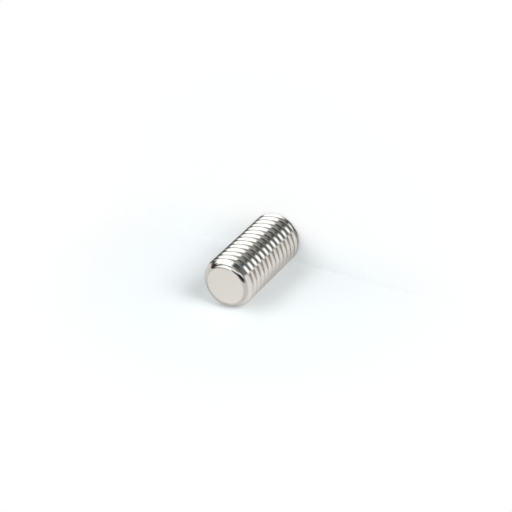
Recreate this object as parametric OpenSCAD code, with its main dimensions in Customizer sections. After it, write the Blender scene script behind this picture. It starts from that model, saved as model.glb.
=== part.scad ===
// Grub screw: a headless set screw with a full-length thread, a flat point and a hex socket.
// It stands on its drive end, with the axis along Z and the flat point on top.

/* [Thread] */
// Nominal thread diameter, measured over the crests
thread_d = 12; // [10.5:0.1:20]
// Thread pitch, the distance from one crest to the next
pitch = 1.75; // [1:0.05:2]
// Angle between the two flanks of a thread
flank_angle = 60; // [52:1:66]
// Overall length of the screw
screw_len = 25; // [16:0.5:50]
// Where the helix starts along the axis, as a share of the pitch
start_share = -0.42; // [-0.5:0.01:0]

/* [Flat point] */
// Diameter of the flat face at the point
point_d = 9; // [5:0.1:9.5]
// Length of the chamfer between the point's face and the thread
point_chamfer = 1.7; // [0.8:0.1:3]

/* [Drive end] */
// Outer diameter of the flat ring around the socket
drive_d = 9; // [8.4:0.1:10]
// Length of the chamfer between the drive end's ring and the thread
drive_chamfer = 1.4; // [0.8:0.1:3]

/* [Hex socket] */
// Width of the socket across its flats
socket_af = 6; // [3:0.1:6.4]
// Depth of the six flats
socket_depth = 8; // [4:0.1:11]
// How far the mouth's countersink reaches past the hexagon's corners
mouth_margin = 0.15; // [0.05:0.01:0.3]
// Wall that the six flats leave around the drilled hole below them
pilot_margin = 0.15; // [0.05:0.01:0.5]
// Depth of the drilled hole below the flats, without its cone
pilot_extra = 0.6; // [0.2:0.1:2]
// Included angle of the countersink at the mouth
mouth_angle = 120; // [90:1:140]
// Included angle of the drill's cone at the bottom
drill_angle = 120; // [90:1:140]

/* [Hidden] */

// Number of facets that stand for one turn of the thread
turn_steps = 48;
// Number of facets on the round surfaces
round_steps = 96;
// Number of sides on the hexagon
hex_sides = 6;
// Number of corners in the section of the thread's ridge
ridge_sides = 4;
// Shares of the sharp triangle's height that a metric thread loses at its crest and root
crest_cut_share = 1 / 8;
root_cut_share = 1 / 6;
// How far a cutting shape runs past the surface that it cuts
cut_over = 0.5;

// The sharp triangle that the thread's profile is cut from
sharp_height = pitch / (2 * tan(flank_angle / 2));
thread_depth = sharp_height * (1 - crest_cut_share - root_cut_share);
crest_width = pitch * crest_cut_share;
thread_r = thread_d / 2;
root_r = thread_r - thread_depth;

// The ridge starts inside the core and ends outside the crests, where the envelope trims it
ridge_sink = thread_depth * root_cut_share;
ridge_rise = sharp_height * crest_cut_share * 0.5;
ridge_in_r = root_r - ridge_sink;
ridge_out_r = thread_r + ridge_rise;
ridge_in_half = crest_width / 2 + (thread_depth + ridge_sink) * tan(flank_angle / 2);
ridge_out_half = crest_width / 2 - ridge_rise * tan(flank_angle / 2);

// The ridge runs past both ends of the screw, and the envelope cuts it off there
ridge_turns = screw_len / pitch + 2;
ridge_count = ceil(ridge_turns * turn_steps);

hex_corner_r = socket_af / (2 * cos(180 / hex_sides));
mouth_r = hex_corner_r + mouth_margin;
mouth_cone = mouth_r / tan(mouth_angle / 2);
pilot_r = socket_af / 2 - pilot_margin;
drill_cone = pilot_r / tan(drill_angle / 2);

// Four corners of the ridge's section at one step along the helix
function ridge_section(i) =
    let (turn = i / turn_steps, angle = 360 * turn, z = pitch * (turn - 1 + start_share))
    [
        for (corner = [
            [ridge_in_r, -ridge_in_half],
            [ridge_out_r, -ridge_out_half],
            [ridge_out_r, ridge_out_half],
            [ridge_in_r, ridge_in_half]
        ])
        [corner.x * cos(angle), corner.x * sin(angle), z + corner.y]
    ];

// The right-hand helical ridge, one closed strip of four-sided sections
module thread_ridge() {
    points = [for (i = [0:ridge_count]) each ridge_section(i)];
    walls = [
        for (i = [0:ridge_count - 1], k = [0:ridge_sides - 1])
        let (
            a = ridge_sides * i + k,
            b = ridge_sides * i + (k + 1) % ridge_sides,
            c = b + ridge_sides,
            d = a + ridge_sides
        )
        each [[a, b, c], [a, c, d]]
    ];
    first_cap = [[for (k = [1:ridge_sides]) ridge_sides - k]];
    last_cap = [[for (k = [1:ridge_sides]) ridge_sides * ridge_count + k - 1]];
    polyhedron(points = points, faces = concat(walls, first_cap, last_cap));
}

// The turned blank that the thread is cut from, with a chamfer at each end
module envelope() {
    rotate_extrude($fn = round_steps)
        polygon([
            [0, 0],
            [drive_d / 2, 0],
            [thread_r, drive_chamfer],
            [thread_r, screw_len - point_chamfer],
            [point_d / 2, screw_len],
            [0, screw_len]
        ]);
}

// Six flats, the countersunk mouth, and the drilled hole with its cone
module socket() {
    translate([0, 0, -cut_over])
        rotate([0, 0, 180 / hex_sides])
            cylinder(r = hex_corner_r, h = socket_depth + cut_over, $fn = hex_sides);
    rotate_extrude($fn = round_steps)
        polygon([
            [0, -cut_over],
            [mouth_r + cut_over * tan(mouth_angle / 2), -cut_over],
            [0, mouth_cone]
        ]);
    rotate_extrude($fn = round_steps)
        polygon([
            [0, 0],
            [pilot_r, 0],
            [pilot_r, socket_depth + pilot_extra],
            [0, socket_depth + pilot_extra + drill_cone]
        ]);
}

module grub_screw() {
    color("silver")
        difference() {
            intersection() {
                envelope();
                union() {
                    cylinder(r = root_r, h = screw_len, $fn = round_steps);
                    thread_ridge();
                }
            }
            socket();
        }
}

grub_screw();
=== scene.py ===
import math

import bpy
from mathutils import Matrix, Vector


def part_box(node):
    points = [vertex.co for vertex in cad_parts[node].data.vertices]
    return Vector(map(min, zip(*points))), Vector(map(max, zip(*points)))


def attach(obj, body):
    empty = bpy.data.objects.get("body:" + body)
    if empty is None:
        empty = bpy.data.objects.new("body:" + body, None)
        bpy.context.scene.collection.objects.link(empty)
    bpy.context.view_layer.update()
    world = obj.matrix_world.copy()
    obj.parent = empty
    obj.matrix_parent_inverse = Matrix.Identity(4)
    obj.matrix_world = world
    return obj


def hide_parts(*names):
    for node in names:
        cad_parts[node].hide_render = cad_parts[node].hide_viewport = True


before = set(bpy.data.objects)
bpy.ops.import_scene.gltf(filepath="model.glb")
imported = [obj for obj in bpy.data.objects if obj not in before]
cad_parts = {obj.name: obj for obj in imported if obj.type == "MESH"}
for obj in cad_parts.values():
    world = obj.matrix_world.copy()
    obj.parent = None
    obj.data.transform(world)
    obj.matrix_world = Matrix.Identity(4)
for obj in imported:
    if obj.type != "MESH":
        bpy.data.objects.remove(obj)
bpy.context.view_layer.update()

mm = 0.001
screwLow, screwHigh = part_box("grub_screw")
screwMiddle = (screwLow + screwHigh) / 2
screwAxis = Vector((0, 0, 1))


# A wire is a node's socket that takes part in sums
class Wire:
    def __init__(self, tree, socket):
        self.tree = tree
        self.socket = socket

    def maths(self, operation, *others):
        inputs = dict(enumerate((self, *others)))
        return self.tree.add("ShaderNodeMath", {"operation": operation}, inputs)

    def __add__(self, other):
        return self.maths("ADD", other)

    def __mul__(self, other):
        return self.maths("MULTIPLY", other)

    def __sub__(self, other):
        return self.maths("SUBTRACT", other)

    def __rsub__(self, other):
        return self.tree.add("ShaderNodeMath", {"operation": "SUBTRACT"}, {0: other, 1: self})

    def __truediv__(self, other):
        return self.maths("DIVIDE", other)

    def __abs__(self):
        return self.maths("ABSOLUTE")

    __radd__ = __add__
    __rmul__ = __mul__


class NodeTree:
    def __init__(self, owner):
        owner.use_nodes = True
        self.nodes = owner.node_tree.nodes
        self.links = owner.node_tree.links
        self.nodes.clear()

    # kind is the node's type; its settings are set before its sockets get their values or links
    def add(self, kind, settings=None, inputs=None, output=0):
        node = self.nodes.new(kind)
        for name, value in (settings or {}).items():
            setattr(node, name, value)
        for name, value in (inputs or {}).items():
            if isinstance(value, Wire):
                self.links.new(value.socket, node.inputs[name])
            else:
                node.inputs[name].default_value = value
        return Wire(self, node.outputs[output]) if len(node.outputs) else node

    # 0 below low and 1 above high, with a soft step between them
    def smooth(self, value, low, high):
        settings = {"interpolation_type": "SMOOTHSTEP"}
        return self.add("ShaderNodeMapRange", settings, {"Value": value, "From Min": low, "From Max": high})

    def mixColour(self, factor, first, second):
        settings = {"data_type": "RGBA"}
        # sockets 6 and 7 are the two colours, and output 2 is the mixed one
        return self.add("ShaderNodeMix", settings, {0: factor, 6: first, 7: second}, output=2)

    # 1 where the camera sees the surface itself, sees it in the metal, or sees it through something
    def sightings(self):
        rays = ("Is Camera Ray", "Is Glossy Ray", "Is Transmission Ray")
        return [self.add("ShaderNodeLightPath", output=ray) for ray in rays]


screw = {
    "length": screwHigh.z - screwLow.z,
    "crestRadius": (screwHigh.x - screwLow.x) / 2,
    "pitch": 1.75 * mm,
    "flankAngle": math.radians(60),
    "crestCut": 1 / 8,  # shares of the sharp triangle's height that the crests and the roots lose
    "rootCut": 1 / 6,
    "startShare": -0.42,  # where the helix starts along the axis, as a share of the pitch
    "crestRound": 0.04 * mm,  # how softly each crest's edges are rolled over
    "rootRound": 0.10 * mm,
    "stepsPerTurn": 168,
    # places along half a pitch, from the crest's middle to the root's, as shares of the pitch
    "halfPitchStops": (0, 0.03, 0.05, 0.066, 0.085, 0.11, 0.18, 0.25, 0.32, 0.36, 0.40, 0.44, 0.47, 0.5),
    "rimSteps": 8,  # rings in the rounding at each end's rim
    "snapShare": 0.012,  # a point nearer to an end's ring than this share of the pitch joins it
    "sharpAngle": math.radians(38),  # a sharper edge than this is shaded as an edge
}

flatPoint = {
    "faceRadius": 4.5 * mm,
    "chamfer": 1.7 * mm,
    "rimRound": 0.60 * mm,
    "faceRings": (0.75, 0.5, 0.25),  # shares of the face's radius inside its rounded rim
    "chamferBlend": 0.03 * mm,  # how softly the chamfer runs into the first turn
    "lipHeight": 0.34 * mm,  # how far the first turn's rolled crest stands up from the chamfer
    "lipShare": 0.29,  # where the lip has died away, as a share of the pitch from the crest's middle
    "lipStart": 0.35 * mm,  # depths below the face at which the lip begins and is full
    "lipFull": 0.95 * mm,
}

driveEnd = {
    "faceRadius": 4.5 * mm,
    "chamfer": 1.4 * mm,
    "rimRound": 0.10 * mm,
    "hexSector": math.radians(60),
    "socketHalfWidth": 3.0 * mm,
    "socketDepth": 8.0 * mm,
    "cornerRound": 0.12 * mm,
    "mouthMargin": 0.15 * mm,  # how far the countersink reaches past the hexagon's corners
    "mouthAngle": math.radians(120),
    "pilotRadius": 2.85 * mm,  # the drilled hole below the flats
    "pilotExtra": 0.6 * mm,
    "drillAngle": math.radians(120),
}


# Points in rings round the screw's axis, and the faces between them
class Lathe:
    def __init__(self, steps):
        self.steps = steps
        self.verts = []
        self.faces = []

    def angle(self, step):
        return 2 * math.pi * step / self.steps

    def addPoint(self, radius, angle, z):
        self.verts.append((radius * math.cos(angle), radius * math.sin(angle), z))
        return len(self.verts) - 1

    # radius and height are numbers, or functions of the angle
    def addRing(self, radius, height):
        ring = []
        for step in range(self.steps):
            angle = self.angle(step)
            radiusHere = radius(angle) if callable(radius) else radius
            heightHere = height(angle) if callable(height) else height
            ring.append(self.addPoint(radiusHere, angle, heightHere))
        return ring

    # a band faces outwards if its first ring is the lower one, and up if that is the wider one
    def addBand(self, first, second):
        for step in range(self.steps):
            after = (step + 1) % self.steps
            self.faces.append((first[step], first[after], second[after], second[step]))

    def addTip(self, ring, z, facesUp):
        self.verts.append((0, 0, z))
        tip = len(self.verts) - 1
        for step in range(self.steps):
            here, after = ring[step], ring[(step + 1) % self.steps]
            self.faces.append((here, after, tip) if facesUp else (after, here, tip))


def softMin(a, b, width):
    # the smaller of the two, with the corner where they cross rounded off over a width
    overlap = max(width - abs(a - b), 0) / width
    return min(a, b) - overlap * overlap * width / 4


def softMax(a, b, width):
    return -softMin(-a, -b, width)


def threadRadius(share):
    # share is the distance from the crest's middle, as a share of the pitch
    flankTan = math.tan(screw["flankAngle"] / 2)
    sharpHeight = screw["pitch"] / (2 * flankTan)
    rootRadius = screw["crestRadius"] - sharpHeight * (1 - screw["crestCut"] - screw["rootCut"])
    flank = screw["crestRadius"] - (share - screw["crestCut"] / 2) * screw["pitch"] / flankTan
    crest = softMin(screw["crestRadius"], flank, screw["crestRound"])
    return softMax(crest, rootRadius, screw["rootRound"])


def chamferSlope(end):
    return (screw["crestRadius"] - end["faceRadius"]) / end["chamfer"]


def coneRadius(z):
    nearPoint = flatPoint["faceRadius"] + (screw["length"] - z) * chamferSlope(flatPoint)
    nearDrive = driveEnd["faceRadius"] + z * chamferSlope(driveEnd)
    return min(nearPoint, nearDrive)


def lipRadius(z, share):
    # the rolled crest of the first turn rises out of the chamfer
    depth = (screw["length"] - z - flatPoint["lipStart"]) / (flatPoint["lipFull"] - flatPoint["lipStart"])
    grown = min(max(depth, 0), 1)
    wave = math.cos(math.pi / 2 * min(share / flatPoint["lipShare"], 1))
    return flatPoint["lipHeight"] * grown * grown * (3 - 2 * grown) * wave * wave


def crestShare(z, angle):
    # how far along the axis the nearest crest is, as a share of the pitch
    phase = (z / screw["pitch"] - angle / (2 * math.pi) - screw["startShare"]) % 1
    return min(phase, 1 - phase)


def screwRadius(z, share):
    return softMin(threadRadius(share), coneRadius(z) + lipRadius(z, share), flatPoint["chamferBlend"])


def hexCornerRadius():
    return driveEnd["socketHalfWidth"] / math.cos(driveEnd["hexSector"] / 2)


def hexRadius(angle):
    # distance from the axis to the socket's wall; a flat faces +X
    sector = driveEnd["hexSector"]
    fromFlat = (angle + sector / 2) % sector - sector / 2
    wall = driveEnd["socketHalfWidth"] / math.cos(fromFlat)
    return softMin(wall, hexCornerRadius(), driveEnd["cornerRound"])


def rimArc(end, facePlane, inward):
    # radii and heights of the rings that round the edge between an end's chamfer and its face
    faceRadius, rounding = end["faceRadius"], end["rimRound"]
    chamferTilt = math.atan(chamferSlope(end))
    startRadius = faceRadius + rounding * math.sin(chamferTilt)
    startDepth = rounding * math.cos(chamferTilt)
    endRadius = faceRadius - rounding
    steps = screw["rimSteps"]
    rings = []
    for step in range(steps + 1):
        t = step / steps
        radius = (1 - t) ** 2 * startRadius + 2 * t * (1 - t) * faceRadius + t * t * endRadius
        depth = (1 - t) ** 2 * startDepth
        rings.append((radius, facePlane + inward * depth))
    return rings


def addPointRing(lathe, radius, z):
    # a ring near the flat point, which the lip lifts where the crest passes it
    return lathe.addRing(lambda angle: radius + lipRadius(z, crestShare(z, angle)), z)


def addThread(lathe, lowRing, lowPlane, topRing, topPlane):
    # its rows follow the helix, and stop at the rings of the two ends
    stops = screw["halfPitchStops"]
    shares = [*stops[:-1], *(1 - stop for stop in reversed(stops[1:]))]  # one whole pitch, crest to crest
    perPitch = len(shares)
    turns = math.ceil(screw["length"] / screw["pitch"]) + 2
    rowCount = turns * perPitch
    snap = screw["pitch"] * screw["snapShare"]
    columns = []
    for step in range(lathe.steps):
        column = []
        for row in range(rowCount + perPitch + 1):
            share = shares[row % perPitch]
            z = screw["pitch"] * (row // perPitch - 1 + screw["startShare"] + share + step / lathe.steps)
            if z <= lowPlane + snap:
                column.append(lowRing[step])
            elif z >= topPlane - snap:
                column.append(topRing[step])
            else:
                radius = screwRadius(z, min(share, 1 - share))
                column.append(lathe.addPoint(radius, lathe.angle(step), z))
        columns.append(column)
    columns.append(columns[0][perPitch:])  # after a whole turn the rows have risen by one pitch
    for column, following in zip(columns, columns[1:]):
        for row in range(rowCount):
            corners = (column[row], following[row], following[row + 1], column[row + 1])
            distinct = list(dict.fromkeys(corners))
            if len(distinct) > 2:
                lathe.faces.append(distinct)


def closeFlatPoint(lathe, topRing, rim):
    # its rounded rim, and rings across the face to the middle
    innerRadius = rim[-1][0]
    rings = rim[1:] + [(innerRadius * share, screw["length"]) for share in flatPoint["faceRings"]]
    previous = topRing
    for radius, height in rings:
        ring = addPointRing(lathe, radius, height)
        lathe.addBand(previous, ring)
        previous = ring
    lathe.addTip(previous, screw["length"], facesUp=True)


def closeDriveEnd(lathe, lowRing, rim):
    # rim, flat ring, countersink, six flats, drilled hole and cone
    mouthRadius = hexCornerRadius() + driveEnd["mouthMargin"]
    mouthTan = math.tan(driveEnd["mouthAngle"] / 2)
    depth = driveEnd["socketDepth"]
    pilot, pilotEnd = driveEnd["pilotRadius"], depth + driveEnd["pilotExtra"]
    apex = pilotEnd + pilot / math.tan(driveEnd["drillAngle"] / 2)
    rings = rim[1:] + [
        (mouthRadius, 0),
        (hexRadius, lambda angle: (mouthRadius - hexRadius(angle)) / mouthTan),
        (hexRadius, depth / 2),
        (hexRadius, depth),
        (pilot, depth),
        (pilot, pilotEnd),
        (pilot / 2, (pilotEnd + apex) / 2),
    ]
    previous = lowRing
    for radius, height in rings:
        ring = lathe.addRing(radius, height)
        lathe.addBand(ring, previous)
        previous = ring
    lathe.addTip(previous, apex, facesUp=False)


def screwMesh():
    lathe = Lathe(screw["stepsPerTurn"])
    pointRim = rimArc(flatPoint, screw["length"], -1)
    driveRim = rimArc(driveEnd, 0, 1)
    lowRing = lathe.addRing(*driveRim[0])
    topRing = addPointRing(lathe, *pointRim[0])
    addThread(lathe, lowRing, driveRim[0][1], topRing, pointRim[0][1])
    closeFlatPoint(lathe, topRing, pointRim)
    closeDriveEnd(lathe, lowRing, driveRim)
    mesh = bpy.data.meshes.new("grubScrew")
    mesh.from_pydata(lathe.verts, [], lathe.faces)
    mesh.validate()
    mesh.polygons.foreach_set("use_smooth", [True] * len(mesh.polygons))
    mesh.set_sharp_from_angle(angle=screw["sharpAngle"])
    return mesh


metal = {
    "colour": (0.714, 0.666, 0.627, 1.0),
    # painted shade: the roots are coloured darker, as the deep groove would be in shade
    "rootShadeColour": (0.48, 0.47, 0.45, 1.0),
    "rootShadeMost": 0.8,  # how much of that painted shade shows at the bottom of a root
    "rootFrom": 0.30,  # shares of the pitch from the crest's middle at which a root begins and is full
    "rootFull": 0.48,
    "crestShadeColour": (0.58, 0.555, 0.525, 1.0),  # painted reflection: the crests are coloured darker, standing in for the dim room that they would mirror; their added roughness is real
    "crestFrom": 0.20 * mm,  # depths below the crests at which the painted dark reflection and the added roughness begin and are full
    "crestFull": 0.07 * mm,
    "rimShadeColour": (0.535, 0.505, 0.48, 1.0),  # painted shade: the chamfers beside the flat faces are coloured darker, standing in for the contact shadow they mirror
    "rimRadius": 4.45 * mm,  # where that painted shade is half grown, over rimSoft
    "rimSoft": 0.5 * mm,
    "rimDepth": 1.3 * mm,  # how deep below the end it dies away
    "rimFullShare": 1 / 3,  # and the share of that depth down to which it is full
    "roughness": 0.11,
    "rootRoughness": 0.08,  # what the roots and the crests add to it
    "crestRoughness": 0.12,
    "roughnessSpread": 0.10,  # how far a cloudy and a grainy noise move it
    "cloudScale": 380.0,
    "cloudDetail": 4.0,
    "cloudShare": 0.6,  # the rest is grain
    "grainScale": 9000.0,
    "grainDetail": 2.0,
    "noiseMiddle": 0.35,  # where the noise leaves the roughness as it is
    "threadGrowth": 0.7 * mm,  # how far outside the flat face's radius rolling marks replace turning marks
    "rollMarkDepth": 0.004 * mm,
    "rollMarkScale": 1.6,
    "rollMarkStretch": (14.0, 9.0, 9000.0),  # across the thread, round the axis and outwards
    "grainHeight": 0.15,  # as a share of the rolling marks
    "turnMarkDepth": 0.0012 * mm,
    "turnMarkStep": 0.09 * mm,
    "turnMarkHeight": 0.5,  # how high the even marks stand beside the uneven ones
    "turnMarkScale": 1500.0,
    "markStrength": 0.5,
}


def metalMaterial():
    material = bpy.data.materials.new("brightSteel")
    tree = NodeTree(material)
    place = tree.add("ShaderNodeTexCoord", output="Object")
    x, y, z = (tree.add("ShaderNodeSeparateXYZ", {}, {0: place}, output=axis) for axis in "XYZ")
    radius = (x * x + y * y).maths("SQRT")
    turn = y.maths("ARCTAN2", x) * (1 / (2 * math.pi))
    # 0 on a crest and 0.5 in a root, all along the helix
    phase = (z * (1 / screw["pitch"]) - turn - screw["startShare"]).maths("FRACT")
    fromCrest = 0.5 - abs(phase - 0.5)
    faceRadius, crestRadius = flatPoint["faceRadius"], screw["crestRadius"]
    onThread = tree.smooth(radius, faceRadius, faceRadius + metal["threadGrowth"])
    inRoot = tree.smooth(fromCrest, metal["rootFrom"], metal["rootFull"]) * onThread
    onCrest = tree.smooth(radius, crestRadius - metal["crestFrom"], crestRadius - metal["crestFull"])

    def noise(vector, scale, detail=3.0):
        settings = {"noise_dimensions": "3D"}
        return tree.add("ShaderNodeTexNoise", settings, {"Vector": vector, "Scale": scale, "Detail": detail})

    # marks that the rolling dies leave run along the helix, so their noise is stretched round the axis
    across, around, outward = metal["rollMarkStretch"]
    rollPlace = {0: phase * across, 1: turn * around, 2: radius * outward}
    rollMarks = noise(tree.add("ShaderNodeCombineXYZ", {}, rollPlace), metal["rollMarkScale"])
    cloud = noise(place, metal["cloudScale"], metal["cloudDetail"])
    grain = noise(place, metal["grainScale"], metal["grainDetail"])
    evenMarks = (radius * (2 * math.pi / metal["turnMarkStep"])).maths("SINE") * metal["turnMarkHeight"]
    turnMarks = evenMarks + noise(place, metal["turnMarkScale"])

    uneven = cloud * metal["cloudShare"] + grain * (1 - metal["cloudShare"]) - metal["noiseMiddle"]
    roughness = metal["roughness"] + metal["roughnessSpread"] * uneven
    roughness = roughness + inRoot * metal["rootRoughness"] + onCrest * metal["crestRoughness"]

    # painted shade: the roots are darkened
    colour = tree.mixColour(inRoot * metal["rootShadeMost"], metal["colour"], metal["rootShadeColour"])
    # painted reflection: the crests are darkened as if they mirrored the dim room
    colour = tree.mixColour(onCrest, colour, metal["crestShadeColour"])
    # painted shade: a darker band on the chamfers beside both end faces
    fromEnd = screw["length"] / 2 - abs(z - screw["length"] / 2)
    rimRadius, halfSoft = metal["rimRadius"], metal["rimSoft"] / 2
    outside = tree.smooth(radius, rimRadius - halfSoft, rimRadius + halfSoft)
    inward = tree.smooth(fromEnd, metal["rimDepth"] * metal["rimFullShare"], metal["rimDepth"])
    colour = tree.mixColour(outside * (1 - inward), colour, metal["rimShadeColour"])

    def bump(depth, inputs):
        fixed = {"Strength": metal["markStrength"], "Distance": depth}
        return tree.add("ShaderNodeBump", {}, {**fixed, **inputs})

    rolled = bump(metal["rollMarkDepth"], {"Height": rollMarks * onThread + grain * metal["grainHeight"]})
    turned = bump(metal["turnMarkDepth"], {"Height": turnMarks * (1 - onThread), "Normal": rolled})
    finish = {"Base Color": colour, "Metallic": 1.0, "Roughness": roughness, "Normal": turned}
    shader = tree.add("ShaderNodeBsdfPrincipled", {}, finish)
    tree.add("ShaderNodeOutputMaterial", {}, {"Surface": shader})
    return material


def buildScrew():
    piece = bpy.data.objects.new("grubScrewBody", screwMesh())
    bpy.context.scene.collection.objects.link(piece)
    piece.data.materials.append(metalMaterial())
    weighted = piece.modifiers.new("evenShading", "WEIGHTED_NORMAL")
    weighted.keep_sharp = True
    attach(piece, "root")
    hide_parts("grub_screw")
    print("screw built,", len(piece.data.polygons), "faces")


buildScrew()


# The camera looks down on the flat point, rolled as for one who sees the screw lying on its side
view = {
    "azimuth": math.radians(-83.4),
    "elevation": math.radians(49.0),
    "farEndTilt": math.radians(43.6),  # where the drive end points in the picture, up from the right
    "distanceInDiameters": 30,
    "lens": 114.0,  # in millimetres, as the sensor's width is
    "sensorWidth": 36.0,
    "clipStart": 1 * mm,
    "aimRight": 0.75 * mm,  # how far right of the screw's middle and above it the camera aims
    "aimUp": 0.84 * mm,
}


def placeCamera():
    flat = math.cos(view["elevation"])
    back = Vector((
        flat * math.cos(view["azimuth"]),
        flat * math.sin(view["azimuth"]),
        math.sin(view["elevation"]),
    ))
    upright = back.to_track_quat("Z", "Y").to_matrix()
    roll = Matrix.Rotation(-(view["farEndTilt"] + math.pi / 2), 3, "Z")
    turned = upright @ roll
    right, up = turned.col[0].copy(), turned.col[1].copy()
    distance = view["distanceInDiameters"] * 2 * screw["crestRadius"]
    aim = screwMiddle + right * view["aimRight"] + up * view["aimUp"]
    cameraData = bpy.data.cameras.new("camera")
    cameraData.lens = view["lens"]
    cameraData.sensor_width = view["sensorWidth"]
    cameraData.clip_start = view["clipStart"]
    camera = bpy.data.objects.new("camera", cameraData)
    camera.matrix_world = Matrix.Translation(aim + back * distance) @ turned.to_4x4()
    bpy.context.scene.collection.objects.link(camera)
    bpy.context.scene.camera = camera
    return right, up, back


def turnedTo(axis, other):
    return axis if axis.dot(other) > 0 else -axis


cameraRight, cameraUp, cameraBack = placeCamera()
# the lying screw's own up: square to its axis, and upright in the picture
lyingUp = turnedTo(screwAxis.cross(cameraRight).normalized(), cameraUp)
towardViewer = turnedTo(cameraRight.cross(lyingUp).normalized(), cameraBack)
print("camera placed")


stage = {
    "size": 3.0,
    "colour": (0.93, 0.966, 0.970, 1.0),
    "mirroredColour": (0.952, 0.961, 0.948, 1.0),  # what the metal mirrors of the table is a little warmer
    "white": 0.1,  # how much of plain white shows in the sheets, beside their own lit colour
    "backWhite": 0.75,  # and how much more of it shows above the lying screw
    "fadeStart": 20 * mm,  # distances from the screw's middle over which the sheets turn plain white
    "fadeEnd": 55 * mm,
    "overlap": 1 * mm,  # how far the table reaches below the floor
}


def sheetMaterial():
    material = bpy.data.materials.new("paleSheet")
    tree = NodeTree(material)
    seenByCamera, seenInMetal, seenThrough = tree.sightings()
    fromBehind = tree.add("ShaderNodeNewGeometry", output="Backfacing")
    colour = tree.mixColour(seenInMetal, stage["colour"], stage["mirroredColour"])
    matte = tree.add("ShaderNodeBsdfDiffuse", {}, {"Color": colour})
    glow = tree.add("ShaderNodeEmission", {}, {"Color": (1, 1, 1, 1), "Strength": 1.0})
    place = tree.add("ShaderNodeNewGeometry", output="Position")
    middle = {0: place, 1: tuple(screwMiddle)}
    distance = tree.add("ShaderNodeVectorMath", {"operation": "DISTANCE"}, middle, output="Value")
    above = {0: place, 1: tuple(lyingUp)}
    rise = tree.add("ShaderNodeVectorMath", {"operation": "DOT_PRODUCT"}, above, output="Value")
    backShare = tree.smooth(rise, -screw["crestRadius"], screw["crestRadius"]) * stage["backWhite"]
    farShare = tree.smooth(distance, stage["fadeStart"], stage["fadeEnd"])
    litShare = (1 - backShare) * (1 - farShare) * (1 - stage["white"])
    share = (seenByCamera + seenInMetal + seenThrough) * (1 - litShare)
    lit = tree.add("ShaderNodeMixShader", {}, {0: share, 1: matte, 2: glow})
    clear = tree.add("ShaderNodeBsdfTransparent")
    surface = tree.add("ShaderNodeMixShader", {}, {0: fromBehind, 1: lit, 2: clear})
    tree.add("ShaderNodeOutputMaterial", {}, {"Surface": surface})
    return material


def addSheet(name, centre, normal, across, material):
    # a square sheet that faces along normal
    side = normal.cross(across).normalized()
    half = stage["size"] / 2
    signs = ((-1, -1), (1, -1), (1, 1), (-1, 1))
    corners = [tuple(centre + across * (i * half) + side * (j * half)) for i, j in signs]
    mesh = bpy.data.meshes.new(name)
    mesh.from_pydata(corners, [], [range(len(corners))])
    if mesh.polygons[0].normal.dot(normal) < 0:
        mesh.flip_normals()
    mesh.materials.append(material)
    sheet = bpy.data.objects.new(name, mesh)
    bpy.context.scene.collection.objects.link(sheet)
    # the sheets meet like a wall and a floor, and neither shades nor brightens the other
    sheet.visible_shadow = False
    sheet.visible_diffuse = False
    return sheet


def buildStage():
    material = sheetMaterial()
    floorCentre = Vector((0, 0, screwLow.z))
    floor = addSheet("floor", floorCentre, screwAxis, Vector((1, 0, 0)), material)
    floor.visible_glossy = False
    # the table that the lying screw would rest on: it touches the thread's crests along one line
    tableRise = stage["size"] / 2 - stage["overlap"]
    tableCentre = floorCentre - lyingUp * screw["crestRadius"] + screwAxis * tableRise
    addSheet("sideTable", tableCentre, lyingUp, screwAxis, material)


buildStage()
print("stage built")


lampDistance = 0.8
# left is the angle round the lying screw from the viewer, to the left, and rise the angle above its table;
# light is what the panel sheds on a surface that faces it, and shine how bright it looks in the metal
lamps = {
    "leftBox": {"left": 64, "rise": 35, "width": 58, "height": 50, "light": 0.50, "shine": 1.75},
    "upperBox": {"left": 26, "rise": 47.5, "width": 72, "height": 29, "light": 0.04, "shine": 1.6},
    "topBox": {"left": 115, "rise": 62, "width": 60, "height": 26, "light": 0.22, "shine": 1.0},
    "rightBox": {"left": -56, "rise": 44, "width": 34, "height": 30, "light": 0.65, "shine": 1.2},
    # both flanks of a groove mirror this one, one after the other, so it looks dimmer than it is
    "farRightBox": {"left": -84, "rise": 35, "width": 28, "height": 35, "light": 0.01, "shine": 2.6},
    "lowBox": {"left": 8, "rise": 8, "width": 26, "height": 14, "light": 0.20, "shine": 0.18},
    "footBox": {"left": 30, "rise": 2, "width": 26, "height": 10, "light": 0.01, "shine": 1.4},
    "endBox": {"left": 28, "rise": 4, "width": 44, "height": 44, "light": 0.42, "shine": 0.09},
    "rightFoot": {"left": -56, "rise": 0, "width": 50, "height": 20, "light": 0.01, "shine": 0.72},
    "crestBox": {"left": -119, "rise": 16, "width": 24, "height": 24, "light": 0.01, "shine": 1.1},
    "sideWall": {"left": -98, "rise": 25, "width": 50, "height": 38, "light": 0.02, "shine": 0.55},
}


def addLamps():
    for name, lamp in lamps.items():
        left, rise = math.radians(lamp["left"]), math.radians(lamp["rise"])
        level = towardViewer * math.cos(left) - cameraRight * math.sin(left)
        direction = level * math.cos(rise) + lyingUp * math.sin(rise)
        data = bpy.data.lights.new(name, "AREA")
        data.shape = "RECTANGLE"
        data.size = 2 * lampDistance * math.sin(math.radians(lamp["width"] / 2))
        data.size_y = 2 * lampDistance * math.sin(math.radians(lamp["height"] / 2))
        # a panel sheds its power over pi at its distance, as seen straight on
        data.energy = lamp["light"] * math.pi**2 * lampDistance**2
        panel = bpy.data.objects.new(name, data)
        panel.visible_glossy = False  # the surroundings draw its mirror image
        across = lyingUp.cross(direction).normalized()
        axes = Matrix((across, direction.cross(across), direction)).transposed()
        panel.matrix_world = Matrix.Translation(screwMiddle + direction * lampDistance) @ axes.to_4x4()
        bpy.context.scene.collection.objects.link(panel)


addLamps()


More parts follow.
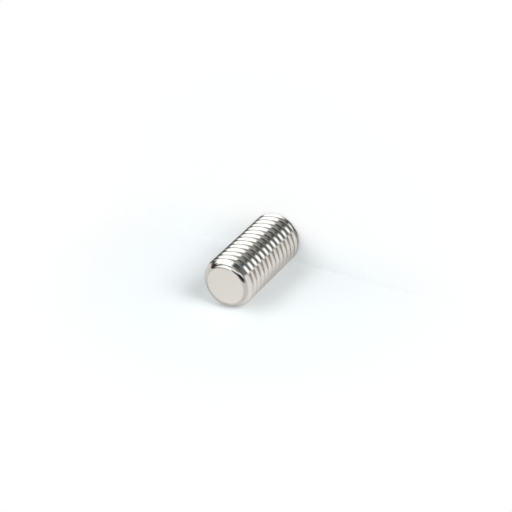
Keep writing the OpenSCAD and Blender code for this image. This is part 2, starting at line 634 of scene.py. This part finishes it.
# Angles are in degrees, and a pair gives where something begins to grow and where it is full
surroundings = {
    "ambient": 0.11,  # the light that comes from all sides
    "ambientTint": (0.80, 1.0, 1.12, 1.0),  # so the shadows are a little cool
    "dark": 0.06,  # how bright the room looks in the metal where no panel is
    "overhead": 0.60,  # what is added overhead
    "overheadRise": (58, 80),
    "behind": 0.30,  # and past the drive end
    "behindCosine": (0.55, 0.80),  # of the angle from the drive end's own direction
    "behindRise": (28, 42),
    "panelBlur": 2,  # half the width over which a panel's edge fades
    "darkTint": (0.91, 0.97, 1.0, 1.0),  # the dim parts of the room are a little cool
    "panelTint": (0.955, 1.0, 1.0, 1.0),  # and so are the panels, which makes up for the warm steel
    "tintRange": (0.2, 0.9),  # the brightness over which one tint gives way to the other
    "coolTint": (0.80, 0.92, 1.0, 1.0),  # the far right panel is cooler, as the steel tints it twice
}


def buildWorld():
    world = bpy.data.worlds.new("surroundings")
    bpy.context.scene.world = world
    tree = NodeTree(world)
    direction = tree.add("ShaderNodeTexCoord", output="Generated")

    def along(axis):
        inputs = {0: direction, 1: tuple(axis)}
        return tree.add("ShaderNodeVectorMath", {"operation": "DOT_PRODUCT"}, inputs, output="Value")

    degree = math.radians(1)
    left = along(-cameraRight).maths("ARCTAN2", along(towardViewer)) / degree
    rise = along(lyingUp).maths("ARCSINE") / degree

    def window(angle, middle, width):
        blur = surroundings["panelBlur"]
        fromMiddle = abs(angle - middle)
        return 1 - tree.smooth(fromMiddle, width / 2 - blur, width / 2 + blur)

    overhead = tree.smooth(rise, *surroundings["overheadRise"]) * surroundings["overhead"]
    behind = tree.smooth(along(-screwAxis), *surroundings["behindCosine"])
    behind = behind * tree.smooth(rise, *surroundings["behindRise"]) * surroundings["behind"]
    mirrored = surroundings["dark"] + overhead + behind
    panels = {}
    for name, lamp in lamps.items():
        panels[name] = window(left, lamp["left"], lamp["width"]) * window(rise, lamp["rise"], lamp["height"])
        mirrored = mirrored + panels[name] * (lamp["shine"] - surroundings["dark"])

    seenByCamera, seenInMetal, seenThrough = tree.sightings()
    plain = (1 - seenByCamera) * (1 - seenThrough) * (1 - seenInMetal)
    strength = seenByCamera + seenThrough + seenInMetal * mirrored + plain * surroundings["ambient"]
    brightness = tree.smooth(strength, *surroundings["tintRange"])
    mirroredTint = tree.mixColour(brightness, surroundings["darkTint"], surroundings["panelTint"])
    mirroredTint = tree.mixColour(panels["farRightBox"], mirroredTint, surroundings["coolTint"])
    plainTint = tree.mixColour(plain, (1, 1, 1, 1), surroundings["ambientTint"])
    tint = tree.mixColour(seenInMetal, plainTint, mirroredTint)
    light = tree.add("ShaderNodeBackground", {}, {"Color": tint, "Strength": strength})
    tree.add("ShaderNodeOutputWorld", {}, {"Surface": light})


buildWorld()
bpy.context.scene.view_settings.view_transform = "Standard"
print("light ready")
